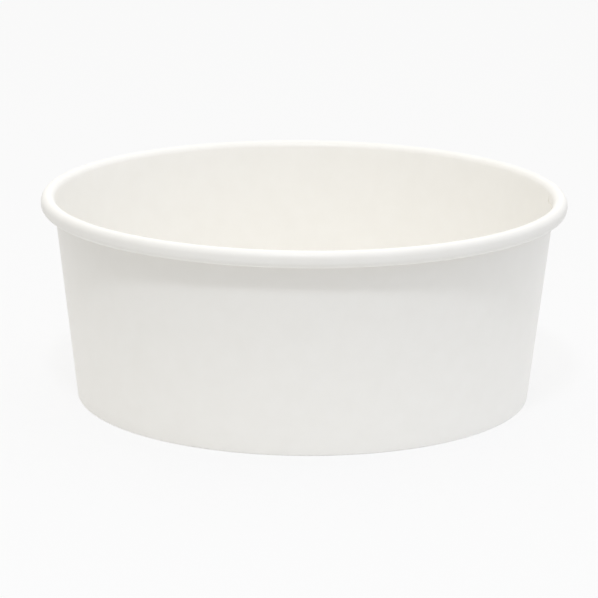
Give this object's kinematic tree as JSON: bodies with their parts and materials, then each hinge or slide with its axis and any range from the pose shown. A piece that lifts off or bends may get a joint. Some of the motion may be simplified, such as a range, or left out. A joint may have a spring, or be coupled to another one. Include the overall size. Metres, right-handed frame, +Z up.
{
  "type": "paper sundae cup",
  "caption": "Wide, shallow round paper cup with a rolled rim, a straight tapered wall lapped at a side seam, and a recessed base.",
  "frame": {"origin": "centre of the circle on which the cup rests, on the plane of its resting edge", "axes": "+Z up along the cup's axis, out of its open mouth; +X towards the lapped side seam"},
  "size_m": [0.15, 0.15, 0.059],
  "materials": {
    "wall_board": "coated paperboard, satin",
    "base_board": "coated paperboard, satin"
  },
  "bodies": {
    "root": {"side_wall": "wall_board", "base_disc": "base_board"}
  },
  "joints": []
}
